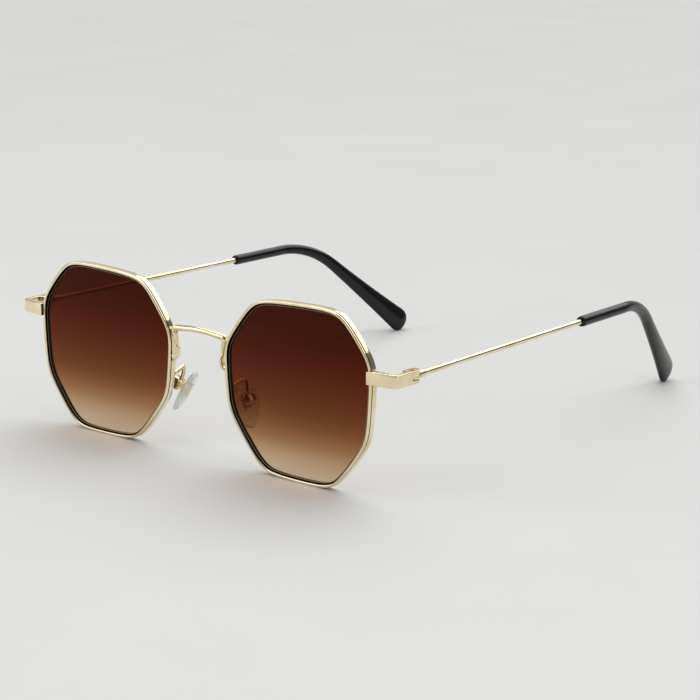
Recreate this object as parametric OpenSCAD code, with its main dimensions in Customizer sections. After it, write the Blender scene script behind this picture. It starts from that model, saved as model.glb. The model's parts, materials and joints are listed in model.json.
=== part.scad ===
// Metal eyeglasses: two eight-sided rims with tinted lenses, a wire bridge, rocking nose
// pads, and side arms that fold on screwed hinges. X points to the wearer's left, Y from
// front to back and Z up. The origin is on the ground under the middle of the whole object.

/* [Lens shape] */
// Top corner on the nose side, inwards from the lens centre
top_in_x = 14; // [12:0.1:15]
// Top corner on the nose side, above the lens centre
top_in_z = 22.4; // [21.4:0.1:23.4]
// Top corner on the temple side, outwards from the lens centre
top_out_x = 13.8; // [12:0.1:15]
// Top corner on the temple side, above the lens centre
top_out_z = 23.4; // [22.4:0.1:24.4]
// Upper side corner on the temple side, outwards from the lens centre
upper_out_x = 24.4; // [23.6:0.1:25.4]
// Upper side corner on the temple side, above the lens centre
upper_out_z = 11.1; // [10:0.1:12]
// Lower side corner on the temple side, outwards from the lens centre
lower_out_x = 23.2; // [22.4:0.1:24.2]
// Lower side corner on the temple side, below the lens centre
lower_out_z = 8.9; // [8:0.1:10]
// Bottom corner on the temple side, outwards from the lens centre
bottom_out_x = 11.9; // [11:0.1:13]
// Bottom corner on the temple side, below the lens centre
bottom_out_z = 23.1; // [22.4:0.1:24]
// Bottom corner on the nose side, inwards from the lens centre
bottom_in_x = 11.1; // [10:0.1:12]
// Bottom corner on the nose side, below the lens centre
bottom_in_z = 22.9; // [22.2:0.1:23.8]
// Lower side corner on the nose side, inwards from the lens centre
lower_in_x = 23; // [22.2:0.1:24]
// Lower side corner on the nose side, below the lens centre
lower_in_z = 8.5; // [7.6:0.1:9.6]
// Upper side corner on the nose side, inwards from the lens centre
upper_in_x = 24.5; // [23.6:0.1:25.4]
// Upper side corner on the nose side, above the lens centre
upper_in_z = 8.9; // [8:0.1:10]
// How firmly the outline is drawn into its corners
corner_pull = 2.5; // [1.8:0.1:3]

/* [Rims and lenses] */
// Distance between the two lens centres
lens_spacing = 67; // [65:0.5:72]
// Thickness of the rim seen from the front
rim_wall = 0.75; // [0.7:0.05:0.95]
// Depth of the rim from front to back
rim_depth = 2.4; // [2.3:0.1:3.2]
// Width of the lens groove inside the rim
groove_w = 1.5; // [1.45:0.05:1.6]
// Depth of the lens groove
groove_depth = 0.35; // [0.25:0.05:0.4]
// Gap between the lens edge and the bottom of the groove
lens_gap = 0.05; // [0.02:0.01:0.15]
// Thickness of the lens
lens_t = 1.1; // [0.9:0.05:1.15]
// Radius of the lens's curved front
lens_curve_r = 265; // [255:5:280]
// How far the lens front stands out of the rim at its centre
lens_bulge = 0.42; // [0.38:0.01:0.44]
// Depth of the flat that each rim stands on
foot_cut = 0.12; // [0.06:0.01:0.2]
// Gap where the rim is split for the lens
split_gap = 0.2; // [0.1:0.05:0.4]

/* [Bridge] */
// Height of the bridge ends above the lens centres
bridge_rise = 10.2; // [9.5:0.1:12]
// Rise of the bridge's middle over its ends
bridge_arch = 0.6; // [0:0.1:3]
// Diameter of the bridge wire
bridge_d = 1.6; // [1.2:0.1:2]
// Diameter of the legs at their lower ends and of the bridge's short stubs
leg_d = 1; // [0.8:0.1:1.2]
// Width from front to back of the flattened part of the legs
leg_w = 2.2; // [1.6:0.1:2.4]
// Thickness of the flattened part of the legs
leg_t = 0.8; // [0.6:0.05:1]
// Height of the legs' lower ends above the lens centres
leg_foot = 0.9; // [0:0.1:2]
// Greatest gap between a leg's centre line and the rim
leg_gap = 1.5; // [1.3:0.1:1.8]

/* [End pieces] */
// Height of the end pieces and hinges above the lens centres
hinge_rise = 8.1; // [7:0.1:8.8]
// How far the end pieces reach out from the rims
end_reach = 8; // [7.4:0.1:10]
// How far an end piece laps over the front of its rim
end_lap = 0.6; // [0.3:0.05:1]
// How far the end piece strip slants back over its reach
end_sweep = 1.3; // [0:0.1:1.6]
// Thickness of the end piece strip
end_t = 1.2; // [1:0.05:1.5]
// Height of the end piece strip
end_h = 3.3; // [3.2:0.1:4]
// Outer radius of the strip's bend
end_bend = 1.8; // [1.6:0.1:2.4]
// Length of the closing blocks outwards from the rim
block_l = 3.8; // [3.4:0.1:4.2]
// Height of the closing blocks, both together
block_h = 2.5; // [2.2:0.1:3]
// Diameter of the rim lock screw
lock_d = 1.2; // [0.8:0.1:1.3]
// Diameter of the rim lock screw's head
lock_head_d = 1.7; // [1.6:0.1:1.8]

/* [Hinges] */
// Distance from the rim's front to the hinge axis
hinge_y = 8.4; // [8:0.1:11]
// Outer radius of the hinge knuckle
knuckle_r = 1.4; // [1.3:0.05:1.6]
// Height of the slot in the knuckle
slot_h = 0.7; // [0.6:0.05:0.8]
// Height of the slot above the bottom of the end piece
slot_rise = 0.85; // [0.8:0.05:1]
// How far the slot reaches in front of the hinge axis
slot_reach = 1.9; // [1.7:0.05:2.2]
// Gap above and below the tongue in the slot
tongue_gap = 0.06; // [0.04:0.01:0.12]
// Gap between the knuckle and the side arm's shoulder
shoulder_gap = 0.2; // [0.15:0.05:0.4]
// Diameter of the hinge screw
hinge_screw_d = 1.2; // [1:0.05:1.3]
// Gap round the hinge screw in the tongue
pivot_gap = 0.04; // [0.02:0.01:0.08]
// Diameter of the hinge screw's head
hinge_head_d = 2; // [1.7:0.1:2.2]
// Height of the hinge screw's head
hinge_head_h = 0.45; // [0.35:0.05:0.6]
// Lean of the hinge axis, so that folded arms pass over each other
hinge_lean = 2.5; // [2.4:0.1:3]

/* [Side arms] */
// Distance from the rim's front to the mouth of the arm's tip
mouth_y = 82.5; // [78:0.5:88]
// How far the arm draws in from its hinge to the tip's mouth
arm_in = 1.7; // [1:0.1:3]
// Diameter of the arm wire
arm_d = 1.5; // [1.3:0.05:1.7]
// Diameter of the arm's shoulder piece
shoulder_d = 2; // [1.9:0.05:2.3]
// Length of the arm's shoulder piece
shoulder_l = 2.4; // [2:0.1:4]
// Length of wire held inside the tip
core_l = 15; // [8:0.5:16]
// Gap between the wire and the bore of the tip
core_gap = 0.02; // [0.01:0.01:0.05]

/* [Arm tips] */
// Straight length from the mouth to the ear bend
tip_straight = 21.5; // [18:0.5:26]
// Radius of the ear bend
ear_r = 29; // [25:1:33]
// Angle of the ear bend
ear_angle = 41; // [39:1:44]
// How far the tip draws in behind the ear
tip_in = 11.5; // [8:0.5:12]
// Height of the tip at its mouth
tip_h = 2.9; // [2.8:0.1:3.3]
// Height of the tip at its flat end
tip_end_h = 7.4; // [6:0.1:8]
// Length of the tip's rounded end
tip_cap = 3.6; // [3:0.1:4]
// Depth of the flat that each tip rests on
tip_foot_cut = 0.2; // [0.15:0.01:0.3]
// Thickness of the tip from side to side
tip_t = 3; // [2.6:0.1:3.2]

/* [Nose pads] */
// Height of the pad centres below the lens centres
pad_drop = 8.3; // [7:0.1:9]
// Distance of the pad centres outwards from the rims' nose-side edge
pad_out = -0.3; // [-0.8:0.1:0.6]
// Distance of the pad centres behind the rims
pad_back = 4.6; // [4.4:0.1:6]
// Turn of the pads about the upright axis
pad_splay = 27; // [24:1:32]
// Lean of the pads towards each other at the top
pad_lean = 30; // [24:1:33]
// Length of the pad
pad_l = 12.4; // [11.5:0.1:14]
// Width of the pad
pad_w = 7.2; // [6.6:0.1:7.6]
// Thickness of the pad in front of its middle plane
pad_front_t = 1.4; // [1.1:0.05:1.5]
// Thickness of the pad behind its middle plane
pad_rear_t = 1.1; // [0.9:0.05:1.15]
// Height of the pad's pivot above its centre
pivot_rise = 0.8; // [0.3:0.1:1.2]
// Distance of the pad's pivot behind its middle plane
pivot_back = 2.4; // [2.4:0.05:2.7]
// Diameter of the pad screw
pad_screw_d = 0.7; // [0.6:0.05:0.8]
// Diameter of the pad screw's head
pad_head_d = 1.4; // [1.2:0.05:1.6]
// Thickness of the tab that the pad swings on
tab_t = 1; // [0.8:0.05:1.2]
// Radius of the tab's round end
tab_r = 0.75; // [0.65:0.05:0.8]
// Gap between the tab and its box
tab_gap = 0.06; // [0.04:0.01:0.12]
// Width of the pad box
box_w = 2.8; // [2.6:0.1:3.2]
// Outer radius of the pad box
box_r = 1.45; // [1.4:0.05:1.6]
// Diameter of the pad arm wire
pad_arm_d = 1.1; // [0.9:0.05:1.2]
// Height of the pad arm's foot below the lens centres
pad_foot_drop = 2.4; // [1.8:0.1:3.2]
// Height of the pad arm's loop above its foot
loop_rise = 1; // [0.4:0.1:1.8]
// Distance of the pad arm's loop behind the rims
loop_back = 4.3; // [4:0.1:5.5]

/* [Hidden] */

gold = "#dcc48c";
tint = [0.35, 0.16, 0.1, 0.6];
black = "#141414";
clear = [0.9, 0.92, 0.92, 0.5];

// A size past every edge, for cuts that go right through
past = 4;
// Width of the driver slots in the screw heads, and their depth
driver_w = 0.3;
driver_depth = 0.25;
// Height of the low screw heads
low_head_h = 0.5;
// Sides of round parts
$fn = 48;

// Outline of a rim's outer edge, seen from the front, with its centre at the lens centre
corners = [
    [-top_in_x, top_in_z], [top_out_x, top_out_z],
    [upper_out_x, upper_out_z], [lower_out_x, -lower_out_z],
    [bottom_out_x, -bottom_out_z], [-bottom_in_x, -bottom_in_z],
    [-lower_in_x, -lower_in_z], [-upper_in_x, upper_in_z],
];
corner_steps = 8;
function corner_run(a, p, b) = [
    for (i = [0:corner_steps - 1])
        let (s = i / corner_steps, k = 2 * corner_pull * s * (1 - s),
             ka = (1 - s) * (1 - s), kb = s * s)
        (ka * (a + p) / 2 + k * p + kb * (p + b) / 2) / (ka + k + kb)
];
outline = [for (i = [0:7]) each corner_run(corners[(i + 7) % 8], corners[i], corners[(i + 1) % 8])];
outline_n = len(outline);
function unit(v) = v / norm(v);
function edge_way(i) = unit(outline[(i + 1) % outline_n] - outline[(i + outline_n - 1) % outline_n]);
function inset(d) = [for (i = [0:outline_n - 1]) outline[i] + d * [edge_way(i).y, -edge_way(i).x]];

// Places where the outline crosses a height
function crossings(v) = [
    for (i = [0:outline_n - 1])
        let (a = outline[i], b = outline[(i + 1) % outline_n])
        if ((a.y > v) != (b.y > v)) a.x + (b.x - a.x) * (v - a.y) / (b.y - a.y)
];
function outer_edge(v) = max(crossings(v));
function inner_edge(v) = min(crossings(v));

// Main places
lens_x = lens_spacing / 2;
lens_z = -min([for (p = outline) p.y]) - foot_cut;
hinge_z = lens_z + hinge_rise;
rim_out_x = lens_x + outer_edge(hinge_rise);
side_x = rim_out_x + end_reach;
hinge_x = side_x - knuckle_r;
end_bottom = hinge_z - end_h / 2;
hinge_at = [hinge_x, hinge_y, hinge_z];
mouth_at = [hinge_x - arm_in, mouth_y, hinge_z];
arm_way = unit(mouth_at - hinge_at);
shoulder_start = knuckle_r + shoulder_gap;
wire_start = shoulder_start + shoulder_l;
arm_len = norm(mouth_at - hinge_at);

// Wall of the rim on the nose side, at a height from the lens centre
function nose_wall(v) = lens_x + inner_edge(v);

// Centre line of the tip: straight, round the ear, then straight to the ground
ear_len = ear_r * ear_angle * PI / 180;
ear_drop = ear_r * (1 - cos(ear_angle));
// The tip's end is blunter than a half ellipse, where a power of 1 is the ellipse
cap_power = 0.8;
cap_steps = 8;
cap_angles = [for (i = [1:cap_steps]) 88 * i / cap_steps];
function cap_out(a) = tip_cap * pow(sin(a), cap_power);
function cap_high(a) = tip_end_h / 2 * pow(cos(a), cap_power);
cap_drop = max([for (a = cap_angles) cap_out(a) * sin(ear_angle) + cap_high(a) * cos(ear_angle)]);
tail_len = (hinge_z - ear_drop - cap_drop + tip_foot_cut) / sin(ear_angle);
bend_len = ear_len + tail_len;
function bend_at(s) = s < ear_len
    ? let (a = s / ear_len * ear_angle) [ear_r * sin(a), -ear_r * (1 - cos(a))]
    : [ear_r * sin(ear_angle) + (s - ear_len) * cos(ear_angle),
       -ear_drop - (s - ear_len) * sin(ear_angle)];
in_power = 1.1;
high_power = 2;
function draw_in(s) = tip_in * pow(s / bend_len, in_power);
straight_end = mouth_at + tip_straight * arm_way;
function tip_at(s) = let (b = bend_at(s)) straight_end + [-draw_in(s), b.x, b.y];
function ease(q) = q * q * (3 - 2 * q);
function tip_high(s) = tip_h + (tip_end_h - tip_h) * pow(s / bend_len, high_power);

// The part's own middle, so that the origin lies under it
end_way = unit(tip_at(bend_len) - tip_at(bend_len - 1));
end_side = cross(end_way, across(end_way, [1, 0, 0]));
back_y = tip_at(bend_len).y
    + max([for (a = cap_angles) cap_out(a) * end_way.y + cap_high(a) * abs(end_side.y)]);
front_y = -end_t;
middle_y = (front_y + back_y) / 2;

// Nose pad frame: its width runs along Y, its length along Z and its face looks to -X
pad_at = [nose_wall(-pad_drop) + pad_out, rim_depth + pad_back, lens_z - pad_drop];
function pad_lean_turn(p) = [
    p.x * cos(pad_lean) - p.z * sin(pad_lean), p.y,
    p.x * sin(pad_lean) + p.z * cos(pad_lean)
];
function pad_splay_turn(p) = [
    p.x * cos(pad_splay) + p.y * sin(pad_splay),
    -p.x * sin(pad_splay) + p.y * cos(pad_splay), p.z
];
function pad_point(p) = pad_at + pad_splay_turn(pad_lean_turn(p));
box_room = 0.15;
box_wall = 0.7;
box_back = pivot_back + tab_r + box_room + box_wall;
box_front = pad_rear_t + 3 * box_room;

module whole() {
    translate([0, -middle_y, 0]) children();
}
module on_side(side) {
    whole() mirror([side < 0 ? 1 : 0, 0, 0]) children();
}
module at_lens() {
    translate([lens_x, 0, lens_z]) children();
}
module at_hinge() {
    translate(hinge_at) rotate([0, -hinge_lean, 0]) children();
}
module along_arm() {
    translate(hinge_at) rotate([0, 0, atan2(arm_way.y, arm_way.x)]) rotate([0, 90, 0]) children();
}
module at_pad() {
    translate(pad_at) rotate([0, 0, -pad_splay]) rotate([0, -pad_lean, 0]) children();
}

// A prism along Y from a flat outline that stands in X and Z
module upright(points, y, depth) {
    translate([0, y + depth, 0]) rotate([90, 0, 0]) linear_extrude(depth) polygon(points);
}

// A smooth bar along stations of [centre, half width, half height]; the widths lie along ref
function way_at(st, i) = unit(st[min(i + 1, len(st) - 1)][0] - st[max(i - 1, 0)][0]);
function across(t, ref) = unit(ref - (ref * t) * t);
module bar(st, ref, sides) {
    n = len(st);
    points = [
        for (i = [0:n - 1])
            let (t = way_at(st, i), u = across(t, ref), v = cross(t, u))
            for (j = [0:sides - 1])
                let (a = 360 * j / sides)
                st[i][0] + st[i][1] * cos(a) * u + st[i][2] * sin(a) * v
    ];
    walls = [
        for (i = [0:n - 2]) for (j = [0:sides - 1])
            let (k = (j + 1) % sides, a = i * sides + j, b = i * sides + k)
            each [[a, a + sides, b], [b, a + sides, b + sides]]
    ];
    near = [for (j = [0:sides - 1]) j];
    far = [for (j = [sides - 1:-1:0]) (n - 1) * sides + j];
    polyhedron(points, concat(walls, [near], [far]), convexity = 6);
}

// A smooth line through hand-set points
function smooth_at(a, b, c, d, q) = 0.5 * (2 * b + (c - a) * q
    + (2 * a - 5 * b + 4 * c - d) * q * q + (3 * b - a - 3 * c + d) * q * q * q);
function smooth(p, steps) = concat(
    [
        for (i = [0:len(p) - 2]) for (j = [0:steps - 1])
            smooth_at(p[max(i - 1, 0)], p[i], p[i + 1], p[min(i + 2, len(p) - 1)], j / steps)
    ],
    [p[len(p) - 1]]
);

module rim() {
    color(gold) difference() {
        at_lens() difference() {
            upright(outline, 0, rim_depth);
            upright(inset(rim_wall), -past, rim_depth + 2 * past);
            upright(inset(rim_wall - groove_depth), (rim_depth - groove_w) / 2, groove_w);
        }
        translate([rim_out_x - rim_wall - past, -past, hinge_z - split_gap / 2])
            cube([rim_wall + 2 * past, rim_depth + 2 * past, split_gap]);
        translate([0, -past, -past])
            cube([lens_spacing, rim_depth + 2 * past, past]);
    }
}

module lens() {
    color(tint) at_lens() intersection() {
        upright(inset(rim_wall - groove_depth + lens_gap), -past, rim_depth + 2 * past);
        translate([0, lens_curve_r - lens_bulge, 0]) difference() {
            sphere(lens_curve_r, $fn = 360);
            sphere(lens_curve_r - lens_t, $fn = 360);
        }
    }
}

// Half of the bridge's centre line, from the foot of a leg up to the middle
leg_points = [
    [nose_wall(leg_foot) + 0.4, leg_foot - 0.3],
    [nose_wall(leg_foot) - 0.3, leg_foot + 0.5],
    [nose_wall(leg_foot + 2) - 0.85 * leg_gap, leg_foot + 2],
    [nose_wall(leg_foot + 3.6) - leg_gap, leg_foot + 3.6],
    [nose_wall(leg_foot + 6) - 0.85 * leg_gap, leg_foot + 6],
    [nose_wall(bridge_rise - 1.6) - 1.2, bridge_rise - 1.6],
    [nose_wall(bridge_rise) - 1.7, bridge_rise - 0.3],
    [nose_wall(bridge_rise) - 3, bridge_rise + 0.1],
];
// The leg is a round wire at its foot, then a strip, then a wire that thickens up to the rod
function step_up(z, from, rise) = ease(min(1, max(0, (z - from) / rise)));
strip_end = leg_foot + 3.6;
strip_fade = 1.2;
function leg_half(v, strip) = (leg_d
    + (strip - leg_d) * (step_up(v, leg_foot + 0.4, strip_fade) - step_up(v, strip_end, strip_fade))
    + (bridge_d - leg_d) * step_up(v, strip_end + 1, bridge_rise - 2 - strip_end)) / 2;
bridge_y = rim_depth / 2 - 0.1;
module bridge() {
    half = [for (p = leg_points) [p.x, bridge_y, lens_z + p.y]];
    other_half = [for (p = backwards(half)) [-p.x, p.y, p.z]];
    middle = [0, bridge_y, lens_z + bridge_rise + bridge_arch];
    stations = [
        for (p = smooth(concat(half, [middle], other_half), 4))
            let (v = p.z - lens_z) [p, leg_half(v, leg_w), leg_half(v, leg_t)]
    ];
    color(gold) difference() {
        union() {
            bar(stations, [0, 1, 0], 16);
            for (m = [0, 1])
                mirror([m, 0, 0])
                    translate([nose_wall(bridge_rise) - 2, bridge_y, lens_z + bridge_rise - 0.5])
                        rotate([0, 90, 0]) cylinder(d = leg_d, h = 3);
        }
        for (m = [0, 1])
            mirror([m, 0, 0]) at_lens() upright(outline, -past, rim_depth + 2 * past);
    }
}

// The strip laps the rim, slants back, turns round the corner and carries the hinge knuckle
end_slant = atan(end_sweep / end_reach);
bend_x = side_x - end_bend;
bend_y = (end_bend + (bend_x - rim_out_x) * sin(end_slant)) / cos(end_slant) - end_t;
bend_steps = 12;
function bend_arc(r) = [
    for (i = [0:bend_steps])
        let (a = (end_slant - 90) * (1 - i / bend_steps)) [bend_x + r * cos(a), bend_y + r * sin(a)]
];
function backwards(list) = [for (i = [len(list) - 1:-1:0]) list[i]];
end_profile = concat(
    [[rim_out_x - end_lap, -end_t], [rim_out_x, -end_t]],
    bend_arc(end_bend),
    [[side_x, hinge_y], [side_x - end_t, hinge_y]],
    backwards(bend_arc(end_bend - end_t)),
    [[rim_out_x, 0], [rim_out_x - end_lap, 0]]
);
// The hinge screw's head is sunk in the knuckle, and the screw stands out a little at both ends
screw_out = 0.1;
head_floor = end_h / 2 + screw_out - hinge_head_h;
module end_piece() {
    color(gold) difference() {
        union() {
            translate([0, 0, end_bottom]) linear_extrude(end_h) polygon(end_profile);
            translate([hinge_x - knuckle_r, hinge_y - 2 * knuckle_r, end_bottom])
                cube([2 * knuckle_r, 2 * knuckle_r, end_h]);
            translate([hinge_x, hinge_y, end_bottom]) cylinder(r = knuckle_r, h = end_h);
        }
        at_hinge() {
            // slot for the tongue, right through from side to side and open to the back
            translate([-past, -slot_reach, slot_rise - end_h / 2])
                cube([2 * past, slot_reach + past, slot_h]);
            translate([0, 0, -past]) cylinder(d = hinge_screw_d, h = 2 * past);
            translate([0, 0, head_floor]) cylinder(d = hinge_head_d, h = past);
        }
    }
}

// Two blocks on the split rim, behind the strip, drawn together by the lock screw
block_root = 1;
lock_x = rim_out_x + block_l / 2 + 0.2;
lock_y = rim_depth / 2 + 0.3;
block_bottom = hinge_z - block_h / 2;
module closing_blocks() {
    half_h = (block_h - split_gap) / 2;
    color(gold) difference() {
        for (z = [block_bottom, hinge_z + split_gap / 2])
            translate([rim_out_x - block_root, 0, z]) cube([block_l + block_root, rim_depth, half_h]);
        at_lens() upright(outline, -past, rim_depth + 2 * past);
        translate([0, 0, end_bottom - past]) linear_extrude(end_h + 2 * past) polygon(end_profile);
        translate([lock_x, lock_y, block_bottom - past])
            cylinder(d = lock_d, h = block_h + 2 * past);
    }
}
module lock_screw() {
    color(gold) translate([lock_x, lock_y, block_bottom]) difference() {
        union() {
            cylinder(d = lock_d, h = block_h);
            translate([0, 0, -low_head_h]) cylinder(d = lock_head_d, h = low_head_h);
        }
        translate([-lock_head_d, -driver_w / 2, -low_head_h - past])
            cube([2 * lock_head_d, driver_w, past + driver_depth]);
    }
}

module hinge_screw() {
    low_end = end_h / 2 + screw_out;
    color(gold) at_hinge() difference() {
        union() {
            translate([0, 0, -low_end]) cylinder(d = hinge_screw_d, h = low_end + head_floor);
            translate([0, 0, head_floor]) cylinder(d = hinge_head_d, h = hinge_head_h);
        }
        translate([-hinge_head_d, -driver_w / 2, head_floor + hinge_head_h - driver_depth])
            cube([2 * hinge_head_d, driver_w, past]);
    }
}

// Tongue that turns in the knuckle, with the shoulder that holds the wire
module arm_shoulder() {
    tongue_h = slot_h - 2 * tongue_gap;
    tongue_r = knuckle_r - 0.15;
    neck_w = 1.6;
    neck_l = shoulder_start + 0.6;
    color(gold) difference() {
        union() {
            at_hinge() translate([0, 0, slot_rise - end_h / 2 + tongue_gap]) {
                cylinder(r = tongue_r, h = tongue_h);
                translate([-neck_w / 2, 0, 0]) cube([neck_w, neck_l, tongue_h]);
            }
            along_arm() translate([0, 0, shoulder_start]) cylinder(d = shoulder_d, h = shoulder_l);
        }
        at_hinge() translate([0, 0, -past]) cylinder(d = hinge_screw_d + 2 * pivot_gap, h = 2 * past);
    }
}

module arm_wire() {
    color(gold) along_arm() translate([0, 0, wire_start])
        cylinder(d = arm_d, h = arm_len + core_l - wire_start);
}

tip_steps = 18;
module arm_tip() {
    mouth = [
        for (m = [[0, 0.75], [0.15, 0.92], [0.5, 1]])
            [mouth_at + m[0] * arm_way, m[1] * tip_t / 2, m[1] * tip_h / 2]
    ];
    body = [
        for (i = [0:tip_steps])
            let (s = bend_len * i / tip_steps)
            [tip_at(s), tip_t / 2, tip_high(s) / 2]
    ];
    cap = [
        for (a = cap_angles)
            [tip_at(bend_len) + cap_out(a) * end_way, tip_t / 2 * pow(cos(a), cap_power), cap_high(a)]
    ];
    color(black) difference() {
        bar(concat(mouth, body, cap), [1, 0, 0], 16);
        along_arm() translate([0, 0, arm_len - past])
            cylinder(d = arm_d + 2 * core_gap, h = core_l + past);
        translate([0, mouth_y, -past]) cube([side_x, 2 * mouth_y, past]);
    }
}

// Wire from the back of the rim, over a loop and down onto the pad box
module pad_arm() {
    foot = [nose_wall(-pad_foot_drop) + rim_wall / 2, rim_depth, lens_z - pad_foot_drop];
    end = pad_point([pivot_back + 0.2, 0, pivot_rise + box_r]);
    above = pad_point([pivot_back + 0.2, 0, pivot_rise + box_r + 1]);
    loop = [(foot.x + above.x) / 2, rim_depth + loop_back, foot.z + loop_rise];
    line = smooth([foot, foot + [0, 0.7, 0.1], foot + [0.1, 2.2, 0.6 * loop_rise], loop, above, end], 4);
    color(gold) bar([for (p = line) [p, pad_arm_d / 2, pad_arm_d / 2]], [1, 0, 0], 10);
}

module along_pivot(length, d) {
    translate([pivot_back, length / 2, pivot_rise]) rotate([90, 0, 0]) cylinder(d = d, h = length);
}
module pad_box() {
    inside_x = pivot_back + tab_r + box_room;
    color(gold) at_pad() difference() {
        intersection() {
            translate([box_front, -box_w / 2, pivot_rise - box_r])
                cube([box_back - box_front, box_w, 2 * box_r]);
            union() {
                along_pivot(box_w, 2 * box_r);
                translate([pivot_back, -box_w / 2, pivot_rise - box_r / 2])
                    cube([past, box_w, 1.5 * box_r]);
            }
        }
        translate([0, -tab_t / 2 - tab_gap, pivot_rise - tab_r - 2 * box_room])
            cube([inside_x, tab_t + 2 * tab_gap, 2 * tab_r + 4 * box_room]);
        along_pivot(2 * past, pad_screw_d);
    }
}

pad_head_h = 0.4;
pad_driver_w = 0.2;
module pad_screw() {
    color(gold) at_pad() translate([pivot_back, 0, pivot_rise]) rotate([90, 0, 0]) difference() {
        union() {
            translate([0, 0, -box_w / 2]) cylinder(d = pad_screw_d, h = box_w);
            translate([0, 0, box_w / 2]) cylinder(d = pad_head_d, h = pad_head_h);
        }
        translate([-pad_head_d, -pad_driver_w / 2, box_w / 2 + pad_head_h / 2])
            cube([2 * pad_head_d, pad_driver_w, past]);
    }
}

// Metal plate inside the pad, with the tab that swings in the box
core_h = 3.8;
core_w = 2.4;
core_t = 0.5;
module core_plate() {
    translate([0, -core_w / 2, pivot_rise - core_h / 2]) cube([core_t, core_w, core_h]);
}
module core_neck(reach) {
    translate([core_t, -tab_t / 2, pivot_rise - tab_r]) cube([reach, tab_t, 2 * tab_r]);
}
module pad_core() {
    color(gold) at_pad() difference() {
        union() {
            core_plate();
            core_neck(pivot_back - core_t);
            along_pivot(tab_t, 2 * tab_r);
        }
        along_pivot(2 * past, pad_screw_d + 2 * pivot_gap);
    }
}

// Soft pad: a drop-shaped outline, wide at the top, with a domed face towards the nose
pad_sides = 28;
function drop_point(a) = [pad_w / 2 * sin(a) * (1 + 0.16 * cos(a)), pad_l / 2 * cos(a)];
pad_layers = [
    [-pad_front_t, 0.35], [-0.9 * pad_front_t, 0.62], [-0.6 * pad_front_t, 0.86],
    [-0.2 * pad_front_t, 0.98], [0.3 * pad_rear_t, 1], [0.75 * pad_rear_t, 0.95], [pad_rear_t, 0.84],
];
module nose_pad() {
    n = len(pad_layers);
    points = [
        for (l = pad_layers) for (j = [0:pad_sides - 1])
            let (p = drop_point(360 * j / pad_sides)) [l[0], l[1] * p.x, l[1] * p.y]
    ];
    walls = [
        for (i = [0:n - 2]) for (j = [0:pad_sides - 1])
            let (k = (j + 1) % pad_sides, a = i * pad_sides + j, b = i * pad_sides + k)
            each [[a, b, a + pad_sides], [b, b + pad_sides, a + pad_sides]]
    ];
    near = [for (j = [pad_sides - 1:-1:0]) j];
    far = [for (j = [0:pad_sides - 1]) (n - 1) * pad_sides + j];
    color(clear) at_pad() difference() {
        polyhedron(points, concat(walls, [near], [far]), convexity = 4);
        core_plate();
        core_neck(past);
    }
}

whole() bridge();
on_side(1) rim();  // left_rim
on_side(-1) rim();  // right_rim
on_side(1) lens();  // left_lens
on_side(-1) lens();  // right_lens
on_side(1) end_piece();  // left_end_piece
on_side(-1) end_piece();  // right_end_piece
on_side(1) closing_blocks();  // left_closing_blocks
on_side(-1) closing_blocks();  // right_closing_blocks
on_side(1) lock_screw();  // left_lock_screw
on_side(-1) lock_screw();  // right_lock_screw
on_side(1) hinge_screw();  // left_hinge_screw
on_side(-1) hinge_screw();  // right_hinge_screw
on_side(1) arm_shoulder();  // left_arm_shoulder
on_side(-1) arm_shoulder();  // right_arm_shoulder
on_side(1) arm_wire();  // left_arm_wire
on_side(-1) arm_wire();  // right_arm_wire
on_side(1) arm_tip();  // left_arm_tip
on_side(-1) arm_tip();  // right_arm_tip
on_side(1) pad_arm();  // left_pad_arm
on_side(-1) pad_arm();  // right_pad_arm
on_side(1) pad_box();  // left_pad_box
on_side(-1) pad_box();  // right_pad_box
on_side(1) pad_screw();  // left_pad_screw
on_side(-1) pad_screw();  // right_pad_screw
on_side(1) pad_core();  // left_pad_core
on_side(-1) pad_core();  // right_pad_core
on_side(1) nose_pad();  // left_nose_pad
on_side(-1) nose_pad();  // right_nose_pad
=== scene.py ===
# Eight-sided metal eyeglasses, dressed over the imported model
import bpy
import bmesh
import json
from functools import partial
from math import sin, cos, radians, pi, ceil
from mathutils import Vector, Matrix


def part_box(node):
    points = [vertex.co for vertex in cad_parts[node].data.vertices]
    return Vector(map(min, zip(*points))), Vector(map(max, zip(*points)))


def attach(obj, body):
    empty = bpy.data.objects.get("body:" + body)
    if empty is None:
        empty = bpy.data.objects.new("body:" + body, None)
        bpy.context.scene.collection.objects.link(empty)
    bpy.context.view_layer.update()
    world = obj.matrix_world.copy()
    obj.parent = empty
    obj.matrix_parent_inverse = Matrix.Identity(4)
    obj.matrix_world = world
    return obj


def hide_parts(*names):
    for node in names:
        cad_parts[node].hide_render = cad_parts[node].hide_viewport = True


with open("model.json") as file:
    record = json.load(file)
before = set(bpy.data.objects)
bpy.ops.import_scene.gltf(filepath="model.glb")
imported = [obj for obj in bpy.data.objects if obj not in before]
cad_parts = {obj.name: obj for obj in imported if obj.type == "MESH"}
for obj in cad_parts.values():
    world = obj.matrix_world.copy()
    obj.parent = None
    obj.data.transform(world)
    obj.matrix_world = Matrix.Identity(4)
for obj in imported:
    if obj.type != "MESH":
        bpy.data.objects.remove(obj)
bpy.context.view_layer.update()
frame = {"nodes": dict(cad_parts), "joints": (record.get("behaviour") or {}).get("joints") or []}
joints = {joint["name"]: joint for joint in frame["joints"]}
scene = bpy.context.scene
mm = 0.001
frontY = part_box("left_rim")[0].y  # the rims' front faces; the sizes below start there
print("frame loaded")


def spot(x, y, z):
    # a place in mm, with y counted from the rims' front, to the row frame in metres
    return Vector((x * mm, frontY + y * mm, z * mm))


# Helpers for nodes and materials

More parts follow.
